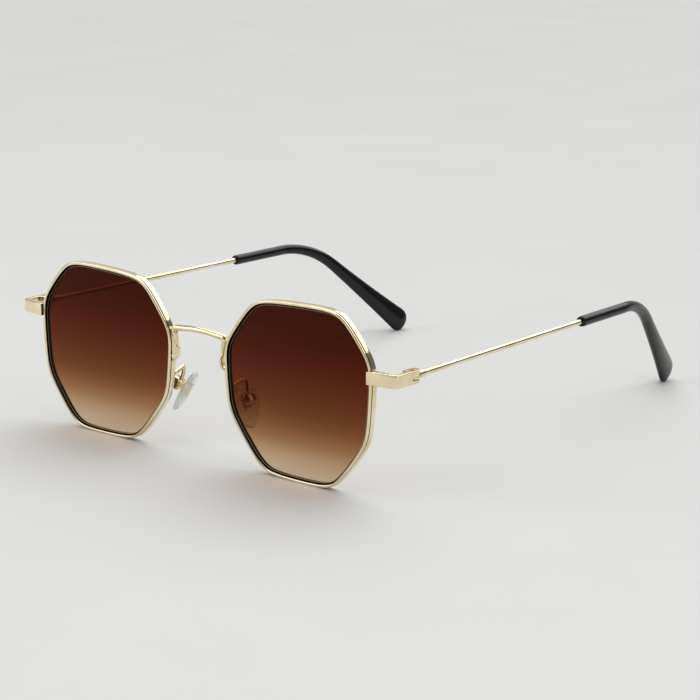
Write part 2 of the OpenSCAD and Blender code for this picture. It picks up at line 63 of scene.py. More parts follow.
def addNode(tree, kind, links=None, stops=(), **settings):
    # one node with its settings, its colour stops as hex values, and what feeds it
    node = tree.nodes.new(kind)
    for name, value in settings.items():
        setattr(node, name, value)
    for i, (place, value) in enumerate(stops):
        line = node.color_ramp.elements
        stop = line[i] if i < len(line) else line.new(place)
        stop.position, stop.color = place, colour(value)
    for name, value in (links or {}).items():
        if isinstance(value, bpy.types.Node):
            value = value.outputs[0]
        if isinstance(value, bpy.types.NodeSocket):
            tree.links.new(value, node.inputs[name])
        else:
            node.inputs[name].default_value = value
    return node


def colour(hexValue):
    # an sRGB hex value as the linear colour that a shader takes
    parts = [int(hexValue[i:i + 2], 16) / 255 for i in (1, 3, 5)]
    return [p / 12.92 if p <= 0.04045 else ((p + 0.055) / 1.055) ** 2.4 for p in parts] + [1]


def newMaterial(name):
    # a material, what adds its nodes, and the object's own coordinates, where each pattern starts
    material = bpy.data.materials.new(name)
    material.use_nodes = True
    material.node_tree.nodes.clear()
    add = partial(addNode, material.node_tree)
    return material, add, add("ShaderNodeTexCoord").outputs["Object"]


def letLampsThrough(add, shader, tint):
    # clear pieces pass the lamps' light on, in their own colour
    clear = add("ShaderNodeBsdfTransparent", {"Color": tint})
    path = add("ShaderNodeLightPath")
    both = add("ShaderNodeMixShader", {0: path.outputs["Is Shadow Ray"], 1: shader, 2: clear})
    add("ShaderNodeOutputMaterial", {"Surface": both})


def perMm(size):
    # texture scale for a pattern whose spacing is size mm
    return 1 / (size * mm)


def cloudedTone(add, surface, size, detail, stops, roughness=0.5):
    # a colour that drifts between its stops in soft clouds of size mm
    cloud = add("ShaderNodeTexNoise", {
        "Vector": surface, "Scale": perMm(size), "Detail": detail, "Roughness": roughness})
    return add("ShaderNodeValToRGB", {"Fac": cloud}, stops=stops)


# Materials

goldLook = {
    # the darkest colour here is painted shade, for the inside of a rim and its milled line
    "pale": "#f8edd3", "warm": "#f1dfb8", "dull": "#e5cf9f", "inside": "#20160c",
    "roughLow": 0.05, "roughHigh": 0.12, "insideRough": 0.4, "cloudMm": 9,
    "buffMm": 0.35, "buffStretch": (1, 0.12, 0.35),  # real lines are finer; coarse so that they show
    "buffBump": 0.05, "swimMm": 1.6, "swimBump": 0.07, "waveMm": 0.02,
}


def platedGold(name, look, extraRough=0.0, extraBuff=0.0):
    # Pale gold electroplate over drawn nickel-silver, buffed on a soft wheel: a clear mirror
    # that swims a little, with faint buffing lines and a warmer tone where the plate is thick.
    # The wheel doesn't reach the inside of a rim or its milled line, which stay duller; there the
    # colour is painted near-black shade and dark reflection
    material, add, surface = newMaterial(name)
    # where the colour turns to painted shade and the surface is duller: inside a rim and in its milled
    # line
    inside = add("ShaderNodeAttribute", attribute_name="unbuffed").outputs["Fac"]
    tone = cloudedTone(add, surface, look["cloudMm"], 4, [
        (0.3, look["dull"]), (0.45, look["warm"]), (0.62, look["pale"])], roughness=0.6)
    plateWithShade = add("ShaderNodeMix", {0: inside, 6: tone, 7: colour(look["inside"])}, data_type="RGBA")
    stretched = add("ShaderNodeMapping", {"Vector": surface, "Scale": look["buffStretch"]})
    buffing = add("ShaderNodeTexNoise", {
        "Vector": stretched, "Scale": perMm(look["buffMm"]), "Detail": 6, "Roughness": 0.7})
    rough = add("ShaderNodeMapRange", {
        "Value": buffing, "From Min": 0.3, "From Max": 0.7,
        "To Min": look["roughLow"] + extraRough, "To Max": look["roughHigh"] + extraRough})
    dulled = add("ShaderNodeMath", {0: inside, 1: look["insideRough"], 2: rough},
                 operation="MULTIPLY_ADD")
    swim = add("ShaderNodeTexNoise", {
        "Vector": surface, "Scale": perMm(look["swimMm"]), "Detail": 2})
    lines = add("ShaderNodeBump", {
        "Height": buffing, "Strength": look["buffBump"] + extraBuff, "Distance": look["waveMm"] * mm})
    waves = add("ShaderNodeBump", {
        "Height": swim, "Normal": lines, "Strength": look["swimBump"],
        "Distance": look["waveMm"] * mm})
    shader = add("ShaderNodeBsdfPrincipled", {
        "Base Color": plateWithShade.outputs[2], "Metallic": 1, "Roughness": dulled, "Normal": waves})
    add("ShaderNodeOutputMaterial", {"Surface": shader})
    return material


screwLook = {
    "pale": "#dcc48e", "warm": "#c9ab6c", "roughLow": 0.16, "roughHigh": 0.34, "speckMm": 0.8,
    "turnedMm": 0.12, "turnedStretch": (0.2, 0.2, 1), "bump": 0.15, "waveMm": 0.02,
}


def turnedScrewMetal(look):
    # Gold-plated stainless steel screw, turned on a lathe: fine marks and a duller mirror
    material, add, surface = newMaterial("turned_plated_screw_steel")
    tone = cloudedTone(add, surface, look["speckMm"], 5, [(0.35, look["warm"]), (0.6, look["pale"])])
    flattened = add("ShaderNodeMapping", {"Vector": surface, "Scale": look["turnedStretch"]})
    marks = add("ShaderNodeTexNoise", {
        "Vector": flattened, "Scale": perMm(look["turnedMm"]), "Detail": 3})
    rough = add("ShaderNodeMapRange", {
        "Value": marks, "To Min": look["roughLow"], "To Max": look["roughHigh"]})
    bump = add("ShaderNodeBump", {
        "Height": marks, "Strength": look["bump"], "Distance": look["waveMm"] * mm})
    shader = add("ShaderNodeBsdfPrincipled", {
        "Base Color": tone, "Metallic": 1, "Roughness": rough, "Normal": bump})
    add("ShaderNodeOutputMaterial", {"Surface": shader})
    return material


lensLook = {
    # heights in mm, from the foot of the lens up
    "dye": [(1, "#e0cbb2"), (4.5, "#d0b496"), (8, "#bd9875"), (11, "#a47852"), (14.6, "#8e5b39"),
            (18, "#7b4527"), (21.4, "#6f3a20"), (25, "#672f19"), (28, "#602815"), (32, "#561e0c"),
            (36, "#4a1a08"), (40, "#431606"), (46, "#3f1305")],
    "swayMm": 30, "sway": 1.2,  # the heights waver by up to this much
    # a painted shade line where the lens runs into its groove, and beside it a ground edge, paled
    # partly as a painted highlight
    "shade": "#0a0504", "shadeMm": 0.42, "shadeSoftMm": 0.08,
    "ground": "#f2e4cd", "groundMm": 0.16, "groundSoftMm": 0.06,
    "groundShare": 0.35, "groundThrough": 0.25,
    "ior": 1.12,  # a bare lens has 1.59; the coating against reflections takes most of it away
    "rough": 0.0,
}


def dippedLens(look):
    # Polycarbonate lens, dip-dyed in a brown bath and drawn out slowly: almost opaque wine
    # brown at the top, tan at the bottom, with a hard clear lacquer and a ground edge. Round the
    # edge runs a painted shade line, and the ground edge is paled partly as a painted highlight
    material, add, surface = newMaterial("dip_dyed_polycarbonate_lens")
    height = add("ShaderNodeSeparateXYZ", {"Vector": surface}).outputs["Z"]
    sway = add("ShaderNodeTexNoise", {
        "Vector": surface, "Scale": perMm(look["swayMm"]), "Detail": 1})
    swayed = add("ShaderNodeMath", {0: sway, 1: look["sway"] * mm, 2: height},
                 operation="MULTIPLY_ADD")
    top = look["dye"][-1][0]
    share = add("ShaderNodeMapRange", {"Value": swayed, "From Max": top * mm})
    dye = add("ShaderNodeValToRGB", {"Fac": share}, stops=[
        (z / top, tint) for z, tint in look["dye"]])
    # distance in mm from the rim, which the mesh carries
    inwards = add("ShaderNodeAttribute", attribute_name="edgeMm").outputs["Fac"]
    shadeEnd, groundEnd = look["shadeMm"], look["shadeMm"] + look["groundMm"]
    # painted shade: a dark line along the rim, where the groove's shadow falls
    dark = add("ShaderNodeMapRange", {
        "Value": inwards, "From Min": shadeEnd, "From Max": shadeEnd - look["shadeSoftMm"]})
    # the ground edge: a pale, less clear line, partly real frosting and partly a painted highlight
    ground = add("ShaderNodeMapRange", {
        "Value": inwards, "From Min": groundEnd, "From Max": groundEnd - look["groundSoftMm"]})
    pale = add("ShaderNodeMath", {0: ground, 1: look["groundShare"]}, operation="MULTIPLY")
    edged = add("ShaderNodeMix", {0: pale, 6: dye, 7: colour(look["ground"])},
                data_type="RGBA").outputs[2]
    shaded = add("ShaderNodeMix", {0: dark, 6: edged, 7: colour(look["shade"])},
                 data_type="RGBA").outputs[2]
    through = add("ShaderNodeMapRange", {
        "Value": ground, "To Min": 1, "To Max": look["groundThrough"]})
    shader = add("ShaderNodeBsdfPrincipled", {
        "Base Color": shaded, "Transmission Weight": through, "IOR": look["ior"],
        "Roughness": look["rough"]})
    letLampsThrough(add, shader, shaded)
    return material


acetateLook = {
    "dark": "#070707", "light": "#141413", "roughLow": 0.12, "roughHigh": 0.24, "cloudMm": 6,
    "buffMm": 1.2, "buffStretch": (1, 0.3, 1), "bump": 0.1, "waveMm": 0.03, "gloss": 0.38, "ior": 1.48,
}


def tumbledAcetate(look):
    # Black cellulose acetate, shaped and tumbled in wooden pegs: deep black with a soft,
    # slightly wavy shine
    material, add, surface = newMaterial("tumbled_black_acetate")
    tone = cloudedTone(add, surface, look["cloudMm"], 4, [(0.35, look["dark"]), (0.75, look["light"])])
    stretched = add("ShaderNodeMapping", {"Vector": surface, "Scale": look["buffStretch"]})
    buff = add("ShaderNodeTexNoise", {
        "Vector": stretched, "Scale": perMm(look["buffMm"]), "Detail": 6})
    rough = add("ShaderNodeMapRange", {
        "Value": buff, "From Min": 0.3, "From Max": 0.7,
        "To Min": look["roughLow"], "To Max": look["roughHigh"]})
    bump = add("ShaderNodeBump", {
        "Height": buff, "Strength": look["bump"], "Distance": look["waveMm"] * mm})
    shader = add("ShaderNodeBsdfPrincipled", {
        "Base Color": tone, "Roughness": rough, "Normal": bump, "IOR": look["ior"],
        "Specular IOR Level": look["gloss"]})
    add("ShaderNodeOutputMaterial", {"Surface": shader})
    return material


siliconeLook = {
    "clear": "#fbfcfb", "milky": "#f1f5f4", "roughLow": 0.06, "roughHigh": 0.2,
    "ior": 1.33,  # solid silicone has 1.41; lower, so that the pads stay as clear as real ones look
    # less clear towards the edge, so that it shows whiter: a painted highlight
    "through": 0.75, "throughEdge": 0.15, "edgeFrom": 0.95,
    "milkMm": 3, "skinMm": 0.5, "bump": 0.08, "waveMm": 0.03,
}


def mouldedSilicone(look):
    # Clear medical silicone, moulded round its metal core: glassy, a little milky, with a
    # faint satin skin. Round the edge it is whiter and less clear: a painted highlight
    material, add, surface = newMaterial("moulded_clear_silicone")
    tone = cloudedTone(add, surface, look["milkMm"], 3, [(0.35, look["milky"]), (0.6, look["clear"])])
    skin = add("ShaderNodeTexNoise", {
        "Vector": surface, "Scale": perMm(look["skinMm"]), "Detail": 4})
    rough = add("ShaderNodeMapRange", {
        "Value": skin, "To Min": look["roughLow"], "To Max": look["roughHigh"]})
    bump = add("ShaderNodeBump", {
        "Height": skin, "Strength": look["bump"], "Distance": look["waveMm"] * mm})
    outwardShare = add("ShaderNodeAttribute", attribute_name="outwardShare").outputs["Fac"]
    # a painted highlight: the edge lets less light through and shows whiter
    through = add("ShaderNodeMapRange", {
        "Value": outwardShare, "From Min": look["edgeFrom"], "From Max": 1,
        "To Min": look["through"], "To Max": look["throughEdge"]})
    shader = add("ShaderNodeBsdfPrincipled", {
        "Base Color": tone, "Roughness": rough, "Normal": bump, "IOR": look["ior"],
        "Transmission Weight": through})
    letLampsThrough(add, shader, tone)
    return material


rimGold = platedGold("buffed_gold_plate", goldLook)
fittingGold = platedGold("tumbled_gold_plate", goldLook, extraRough=0.04, extraBuff=0.05)
screwMetal = turnedScrewMetal(screwLook)
lensDye = dippedLens(lensLook)
tipAcetate = tumbledAcetate(acetateLook)
padSilicone = mouldedSilicone(siliconeLook)
print("materials ready")


# Mesh helpers

def linkUp(name, mesh):
    piece = bpy.data.objects.new(name, mesh)
    scene.collection.objects.link(piece)
    return piece


def closeUp(mesh, mergeMm=0.0001):
    # merges doubled points and turns the faces outwards
    shape = bmesh.new()
    shape.from_mesh(mesh)
    bmesh.ops.remove_doubles(shape, verts=shape.verts, dist=mergeMm * mm)
    bmesh.ops.recalc_face_normals(shape, faces=shape.faces)
    shape.to_mesh(mesh)
    shape.free()


def smoothBy(mesh, softUnder):
    # soft shading, broken at edges that turn by this many degrees or more
    shape = bmesh.new()
    shape.from_mesh(mesh)
    for face in shape.faces:
        face.smooth = True
    for edge in shape.edges:
        if len(edge.link_faces) == 2:
            edge.smooth = edge.calc_face_angle(0) < radians(softUnder)
    shape.to_mesh(mesh)
    shape.free()


def mirrored(mesh, name):
    # the mirror image, with its faces turned outwards again
    other = mesh.copy()
    other.name = name
    other.transform(Matrix.Scale(-1, 4, (1, 0, 0)))
    other.flip_normals()
    return other


def dress(piece, body, node, material):
    piece.data.materials.clear()
    piece.data.materials.append(material)
    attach(piece, body)
    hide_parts(node)


def pair(mesh, node, bodies, material):
    # the left piece and its mirror image
    for side, shape in (("left", mesh), ("right", mirrored(mesh, "right_" + node))):
        piece = linkUp(f"shown_{side}_{node}", shape)
        dress(piece, bodies[side], f"{side}_{node}", material)


frontBody = {"left": "front", "right": "front"}
armBody = {"left": "left_side_arm", "right": "right_side_arm"}
padBody = {"left": "left_pad", "right": "right_pad"}


def meshFrom(shape, name, softUnder):
    # the mesh of a shape that was built face by face
    bmesh.ops.recalc_face_normals(shape, faces=shape.faces)
    mesh = bpy.data.meshes.new(name)
    shape.to_mesh(mesh)
    shape.free()
    smoothBy(mesh, softUnder)
    return mesh


def coverRings(shape, rings, ends):
    # soft faces from one end point over the rings to the other
    count = len(rings[0])
    for j in range(count):
        k = (j + 1) % count
        faces = [(ends[0], rings[0][j], rings[0][k]), (ends[1], rings[-1][k], rings[-1][j])]
        faces += [(a[j], b[j], b[k], a[k]) for a, b in zip(rings, rings[1:])]
        for corners in faces:
            shape.faces.new(corners).smooth = True


def addColumn(mesh, label, kind, values):
    # one attribute with a value or a vector for each point
    layer = mesh.attributes.new(label, kind, "POINT")
    if kind == "FLOAT_VECTOR":
        layer.data.foreach_set("vector", [c for v in values for c in v])
    else:
        layer.data.foreach_set("value", values)


def settled(holder, name):
    # the object's shape after its modifiers, as plain mesh data
    bpy.context.view_layer.update()
    graph = bpy.context.evaluated_depsgraph_get()
    mesh = bpy.data.meshes.new_from_object(holder.evaluated_get(graph))
    holder.modifiers.clear()
    bpy.data.objects.remove(holder)
    mesh.name = name
    return mesh


def rounded(mesh, name, width, style):
    # small round edges, as polishing leaves them
    holder = linkUp(name, mesh)
    bevel = holder.modifiers.new("round", "BEVEL")
    bevel.width = width * mm
    bevel.segments = style["segments"]
    bevel.limit_method = "ANGLE"
    bevel.angle_limit = radians(style["sharpOver"])
    result = settled(holder, name)
    smoothBy(result, style["softUnder"])
    return result


def grown(name, source, tree, values, columns=()):
    # runs a node tree on a mesh, and drops the columns that only the tree needs
    holder = linkUp(name, source)
    modifier = holder.modifiers.new("grow", "NODES")
    modifier.node_group = tree
    sockets = {item.name: item.identifier for item in tree.interface.items_tree
               if item.item_type == "SOCKET" and item.in_out == "INPUT"}
    for label, value in values.items():
        modifier[sockets[label]] = value
    mesh = settled(holder, name)
    for label in columns:
        if label in mesh.attributes:
            mesh.attributes.remove(mesh.attributes[label])
    return mesh


def newTree(name, sizes):
    # an empty node tree with a geometry input, a material input and the named sizes
    tree = bpy.data.node_groups.new(name, "GeometryNodeTree")
    tree.interface.new_socket("Geometry", in_out="INPUT", socket_type="NodeSocketGeometry")
    tree.interface.new_socket("Geometry", in_out="OUTPUT", socket_type="NodeSocketGeometry")
    tree.interface.new_socket("Material", in_out="INPUT", socket_type="NodeSocketMaterial")
    for label, kind in sizes.items():
        tree.interface.new_socket(label, in_out="INPUT", socket_type=kind)
    add = partial(addNode, tree)
    return tree, add, add("NodeGroupInput")


def closeTree(add, given, shape, place=None):
    # puts the points in their places, none of them under the floor; every tree ends in
    # Realize Instances and Set Material
    if place:
        x, y, z = add("ShaderNodeSeparateXYZ", {0: place}).outputs
        stood = add("ShaderNodeMath", {0: z, 1: 0}, operation="MAXIMUM")
        kept = add("ShaderNodeCombineXYZ", {0: x, 1: y, 2: stood})
        shape = add("GeometryNodeSetPosition", {"Geometry": shape, "Position": kept})
    real = add("GeometryNodeRealizeInstances", {0: shape})
    painted = add("GeometryNodeSetMaterial", {
        "Geometry": real, "Material": given.outputs["Material"]})
    add("NodeGroupOutput", {"Geometry": painted})


# Wires: a round or oval section along a path

wireColumns = {"spine": "FLOAT_VECTOR", "wideWay": "FLOAT_VECTOR", "highWay": "FLOAT_VECTOR",
               "wideShare": "FLOAT", "highShare": "FLOAT", "power": "FLOAT"}


def makeWireTree():
    tree, add, given = newTree("wireAlongPath", {
        "Width": "NodeSocketFloat", "Height": "NodeSocketFloat", "Sides": "NodeSocketInt"})
    path = add("GeometryNodeMeshToCurve", {0: given.outputs["Geometry"]})
    ring = add("GeometryNodeCurvePrimitiveCircle", {
        "Resolution": given.outputs["Sides"], "Radius": mm})
    skin = add("GeometryNodeCurveToMesh", {"Curve": path, "Profile Curve": ring, "Fill Caps": True})
    own = {label: add("GeometryNodeInputNamedAttribute", {"Name": label}, data_type=kind)
           for label, kind in wireColumns.items()}
    offset = add("ShaderNodeVectorMath", {
        0: add("GeometryNodeInputPosition"), 1: own["spine"]}, operation="SUBTRACT")
    away = add("ShaderNodeVectorMath", {0: offset}, operation="NORMALIZE")
    place = own["spine"]
    for way, share, size in (("wideWay", "wideShare", "Width"), ("highWay", "highShare", "Height")):
        side = add("ShaderNodeVectorMath", {0: away, 1: own[way]},
                   operation="DOT_PRODUCT").outputs["Value"]
        amount = add("ShaderNodeMath", {0: side}, operation="ABSOLUTE")
        sign = add("ShaderNodeMath", {0: side}, operation="SIGN")
        full = add("ShaderNodeMath", {0: amount, 1: own["power"]}, operation="POWER")
        signed = add("ShaderNodeMath", {0: full, 1: sign}, operation="MULTIPLY")
        reach = add("ShaderNodeMath", {0: signed, 1: own[share]}, operation="MULTIPLY")
        whole = add("ShaderNodeMath", {0: reach, 1: given.outputs[size]}, operation="MULTIPLY")
        half = add("ShaderNodeMath", {0: whole, 1: 0.5}, operation="MULTIPLY")
        step = add("ShaderNodeVectorMath", {0: own[way], "Scale": half}, operation="SCALE")
        place = add("ShaderNodeVectorMath", {0: place, 1: step}, operation="ADD")
    closeTree(add, given, skin, place)
    return tree


wireTree = makeWireTree()


def wire(name, stations, reference, width, height, sides, material, softUnder=40):
    # stations are [place, share of the width, share of the height, power], where a power
    # of 1, which may be left out, is an oval section and a smaller one a squarer section.
    # The width lies along reference
    stations = [[*s, 1] if len(s) == 3 else s for s in stations]
    count = len(stations)
    source = bpy.data.meshes.new(name + "_path")
    source.from_pydata([s[0] for s in stations], [(i, i + 1) for i in range(count - 1)], [])
    wideWays, highWays = [], []
    for i, station in enumerate(stations):
        ahead = stations[min(i + 1, count - 1)][0] - station[0]
        behind = station[0] - stations[max(i - 1, 0)][0]
        way = (ahead.normalized() + behind.normalized()).normalized()
        wideWay = (reference - reference.dot(way) * way).normalized()
        wideWays.append(wideWay)
        highWays.append(way.cross(wideWay))
    places, wideShares, highShares, powers = zip(*stations)
    for (label, kind), values in zip(wireColumns.items(), (
            places, wideWays, highWays, wideShares, highShares, powers)):
        addColumn(source, label, kind, values)
    mesh = grown(name, source, wireTree, {
        "Width": width * mm, "Height": height * mm, "Sides": sides, "Material": material}, wireColumns)
    closeUp(mesh)
    smoothBy(mesh, softUnder)
    return mesh


def smoothLine(points, steps):
    # an even curve through hand-set points
    line = []
    for i in range(len(points) - 1):
        a, b = points[max(i - 1, 0)], points[i]
        c, d = points[i + 1], points[min(i + 2, len(points) - 1)]
        for j in range(steps):
            q = j / steps
            line.append(0.5 * (2 * b + (c - a) * q + (2 * a - 5 * b + 4 * c - d) * q * q
                               + (3 * b - a - 3 * c + d) * q ** 3))
    line.append(points[-1])
    return line


# Rims

rimShape = {
    # corners of the outline in mm from the lens centre: outwards, up
    "corners": [(-14, 22.4), (13.8, 23.4), (24.4, 11.1), (23.2, -8.9),
                (11.9, -23.1), (-11.1, -22.9), (-23, -8.5), (-24.5, 8.9)],
    "pull": 2.5,  # how close the rounded corners come to the corner points
    "steps": 22, "cadSteps": 8,  # round each corner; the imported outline's steps set the lens height
    "lensSpacing": 67, "footCut": 0.12, "hingeRise": 8.1,
    "split": 0.2, "splitClear": 0.15,  # no other point comes closer to the split's middle
    "wall": 0.75, "depth": 2.4, "softUnder": 35,
    # section, from the middle of the crowned front: share of the wall inwards, share of the
    # depth. A fine line is milled round the outside, behind the front edge
    "section": [(0.5, 0), (0.3, 0.006), (0.15, 0.02), (0.06, 0.045), (0.015, 0.08), (0, 0.12),
                (0, 0.165), (0.05, 0.18), (0.18, 0.19), (0.18, 0.33), (0.05, 0.34), (0, 0.355),
                (0, 0.6), (0, 0.925), (0.03, 0.964), (0.11, 0.988), (0.22, 1), (0.78, 1),
                (0.89, 0.988), (0.97, 0.964), (1, 0.925), (1, 0.82), (0.53, 0.8125), (0.53, 0.1875),
                (1, 0.18), (1, 0.1), (0.97, 0.06), (0.88, 0.026), (0.72, 0.007)],
    # these section points get painted shade and a duller surface
    "unbuffed": (8, 9, 20, 21, 22, 23, 24, 25),  # its points in the milled line and round the groove
}


def cornerRun(a, p, b, pull, steps):
    # round the corner p, from halfway to it to halfway past it
    run = []
    for i in range(steps):
        s = i / steps
        k, ka, kb = 2 * pull * s * (1 - s), (1 - s) ** 2, s ** 2
        run.append((ka * (a + p) / 2 + k * p + kb * (p + b) / 2) / (ka + k + kb))
    return run


def outlineOf(shape, steps):
    corners = [Vector(c) for c in shape["corners"]]
    count = len(corners)
    return [p for i in range(count) for p in cornerRun(
        corners[i - 1], corners[i], corners[(i + 1) % count], shape["pull"], steps)]


outline = outlineOf(rimShape, rimShape["steps"])
lensX = rimShape["lensSpacing"] / 2
lensZ = -min(p.y for p in outlineOf(rimShape, rimShape["cadSteps"])) - rimShape["footCut"]
hingeZ = lensZ + rimShape["hingeRise"]


def crossings(height):
    # where the outline passes a height, both in mm from the lens centre
    found = []
    for a, b in zip(outline, outline[1:] + outline[:1]):
        if (a.y > height) != (b.y > height):
            found.append(a.x + (b.x - a.x) * (height - a.y) / (b.y - a.y))
    return found


def noseWall(height):
    return lensX + min(crossings(height))


def outwards(points, i):
    # square to the outline at its point i
    way = (points[(i + 1) % len(points)] - points[i - 1]).normalized()
    return Vector((-way.y, way.x))


rimColumns = {
    "spine": "FLOAT_VECTOR", "inWay": "FLOAT_VECTOR", "inShare": "FLOAT", "backShare": "FLOAT"}


def makeRimTree():
    tree, add, given = newTree("rimSection", {"Wall": "NodeSocketFloat", "Depth": "NodeSocketFloat"})
    isSection = add("GeometryNodeInputNamedAttribute", {"Name": "isSection"}, data_type="BOOLEAN")
    parts = add("GeometryNodeSeparateGeometry", {
        "Geometry": given.outputs["Geometry"], "Selection": isSection}, domain="POINT")
    section, path = parts.outputs["Selection"], parts.outputs["Inverted"]
    # each part keeps only its own columns, or their zeros would cover the other part's
    for label in ("spine", "inWay"):
        section = add("GeometryNodeRemoveAttribute", {"Geometry": section, "Name": label})
    for label in ("inShare", "backShare", "unbuffed"):
        path = add("GeometryNodeRemoveAttribute", {"Geometry": path, "Name": label})
    line, profile = (add("GeometryNodeMeshToCurve", {0: part}) for part in (path, section))
    skin = add("GeometryNodeCurveToMesh", {
        "Curve": line, "Profile Curve": profile, "Fill Caps": True})
    own = {label: add("GeometryNodeInputNamedAttribute", {"Name": label}, data_type=kind)
           for label, kind in rimColumns.items()}
    inwards = add("ShaderNodeMath", {0: own["inShare"], 1: given.outputs["Wall"]},
                  operation="MULTIPLY")
    backwards = add("ShaderNodeMath", {0: own["backShare"], 1: given.outputs["Depth"]},
                    operation="MULTIPLY")
    step = add("ShaderNodeVectorMath", {0: own["inWay"], "Scale": inwards}, operation="SCALE")
    back = add("ShaderNodeCombineXYZ", {1: backwards})
    near = add("ShaderNodeVectorMath", {0: own["spine"], 1: step}, operation="ADD")
    place = add("ShaderNodeVectorMath", {0: near, 1: back}, operation="ADD")
    closeTree(add, given, skin, place)
    return tree


def buildRim(shape):
    # the path starts below the split on the temple side and runs right round to above it
    count = len(outline)
    splitX, splitY, half = max(crossings(shape["hingeRise"])), shape["hingeRise"], shape["split"] / 2
    start = next(i for i in range(count)
                 if outline[i - 1].x > 0 and outline[i - 1].y > splitY >= outline[i].y)
    run = [(outline[i % count], -outwards(outline, i % count)) for i in range(start, start + count)]
    run = ([(Vector((splitX, splitY - half)), run[0][1])]
           + [r for r in run if abs(r[0].y - splitY) > shape["splitClear"] or r[0].x < 0]
           + [(Vector((splitX, splitY + half)), run[-1][1])])
    section = shape["section"]
    points = [spot(lensX + p.x, 0, lensZ + p.y) for p, way in run]
    points += [Vector((u * mm, v * mm, 0)) for u, v in section]
    edges = [(i, i + 1) for i in range(len(run) - 1)]
    edges += [(len(run) + i, len(run) + (i + 1) % len(section)) for i in range(len(section))]
    source = bpy.data.meshes.new("rim_path")
    source.from_pydata(points, edges, [])
    blank = [Vector()] * len(section)
    # 1 where a section point gets painted shade and a duller surface
    dullShadedSection = [float(i in shape["unbuffed"]) for i in range(len(section))]
    addColumn(source, "isSection", "BOOLEAN", [False] * len(run) + [True] * len(section))
    addColumn(source, "unbuffed", "FLOAT", [0.0] * len(run) + dullShadedSection)
    addColumn(source, "spine", "FLOAT_VECTOR", points[:len(run)] + blank)
    addColumn(source, "inWay", "FLOAT_VECTOR", [Vector((way.x, 0, way.y)) for p, way in run] + blank)
    for label, column in (("inShare", 0), ("backShare", 1)):
        addColumn(source, label, "FLOAT", [0.0] * len(run) + [s[column] for s in section])
    mesh = grown("left_rim_shape", source, makeRimTree(), {
        "Wall": shape["wall"] * mm, "Depth": shape["depth"] * mm, "Material": rimGold},
        ["isSection", *rimColumns])
    closeUp(mesh)
    smoothBy(mesh, shape["softUnder"])
    return mesh


pair(buildRim(rimShape), "rim", frontBody, rimGold)
print("rims built")


# Lenses

lensShape = {
    "thick": 1.1, "curve": 265, "bulge": 0.42, "rings": 22, "softUnder": 50,
    # rings from the edge inwards: mm from the rim's outside, mm that the front falls back there
    "edgeRings": [(0.45, 0.22), (0.75, 0.12), (1.09, 0.03), (1.17, 0), (1.25, 0), (1.33, 0), (1.5, 0)],
}


def buildLens(shape):
    # a shallow cap of two spheres, cut to the outline, with its front edge ground back a little
    count = len(outline)
    lens = bmesh.new()
    distance = lens.verts.layers.float.new("edgeMm")
    insets = [(back, [outline[i] - away * outwards(outline, i) for i in range(count)],
               away - rimShape["wall"]) for away, back in shape["edgeRings"]]
    # further in, the distance only has to grow
    innermost, reach = insets[-1][1], insets[-1][2]
    insets += [(0, [p * (1 - k / shape["rings"]) for p in innermost], reach + k)
               for k in range(1, shape["rings"])]

    def onBall(p, radius):
        middle = shape["curve"] - shape["bulge"]
        return middle - (radius ** 2 - p.x ** 2 - p.y ** 2) ** 0.5

    edges = []
    for radius, isFront in ((shape["curve"], 1), (shape["curve"] - shape["thick"], 0)):
        rings = []
        for back, places, away in insets:
            ring = [lens.verts.new(spot(
                lensX + p.x, onBall(p, radius) + back * isFront, lensZ + p.y)) for p in places]
            for vert in ring:
                vert[distance] = away
            rings.append(ring)
        hub = lens.verts.new(spot(lensX, onBall(Vector((0, 0)), radius), lensZ))
        hub[distance] = reach + shape["rings"]
        for i in range(count):
            k = (i + 1) % count
            lens.faces.new((hub, rings[-1][i], rings[-1][k]))
            for outer, inner in zip(rings, rings[1:]):
                lens.faces.new((inner[i], outer[i], outer[k], inner[k]))
        edges.append(rings[0])
    front, back = edges
    for i in range(count):
        lens.faces.new((front[i], back[i], back[(i + 1) % count], front[(i + 1) % count]))
    return meshFrom(lens, "left_lens_shape", shape["softUnder"])


pair(buildLens(lensShape), "lens", frontBody, lensDye)
print("lenses built")


# Bridge

bridgeShape = {
    "rise": 10.2, "arch": 0.6, "rod": 1.6, "foot": 0.9, "behind": 1.1,
    # points up a leg, in mm above the foot, and on into the rod, in mm above the rise: the height
    # where the rim is measured, the gap from there to the leg's middle, the point's own height
    "legPoints": [(0, -0.4, -0.3), (0, 0.3, 0.5), (2, 1.275, 2), (3.6, 1.5, 3.6), (6, 1.275, 6)],
    "turnPoints": [(-1.6, 1.2, -1.6), (0, 1.7, -0.3), (0, 3, 0.1)],
    # the leg is wire, flattened to a strip between two heights above the foot. Over that it
    # thickens up to the rod, and starts and ends clear mm from both
    "leg": 1.0, "stripFrom": 0.4, "stripTo": 3.6, "stripWide": 2.2, "stripThick": 0.8,
    "stripPower": 0.65, "blend": 1.2, "clear": 1,
    "bead": 0.45, "beadIn": 1.65, "beadBack": 0.35, "beadRise": 0.4, "beadSides": 20, "beadRings": 12,
    "stubIn": 2, "stubDrop": 0.5, "stubLength": 2.8, "stubStep": 0.5, "stubSides": 24,
    "steps": 10, "sides": 40,
}


def ease(q):
    # from 0 to 1, slowly at both ends
    q = min(1, max(0, q))
    return q * q * (3 - 2 * q)


def addBead(target, middle, shape):
    # the bead where the strip was brazed to the round wire
    radius, sides, steps = shape["bead"] * mm, shape["beadSides"], shape["beadRings"]
    turns = [2 * pi * j / sides for j in range(sides)]
    rings = [[target.verts.new(middle + radius * Vector((sin(a) * cos(b), sin(a) * sin(b), cos(a))))
              for b in turns] for a in (pi * i / steps for i in range(1, steps))]
    ends = [target.verts.new(middle + Vector((0, 0, z))) for z in (radius, -radius)]
    coverRings(target, rings, ends)


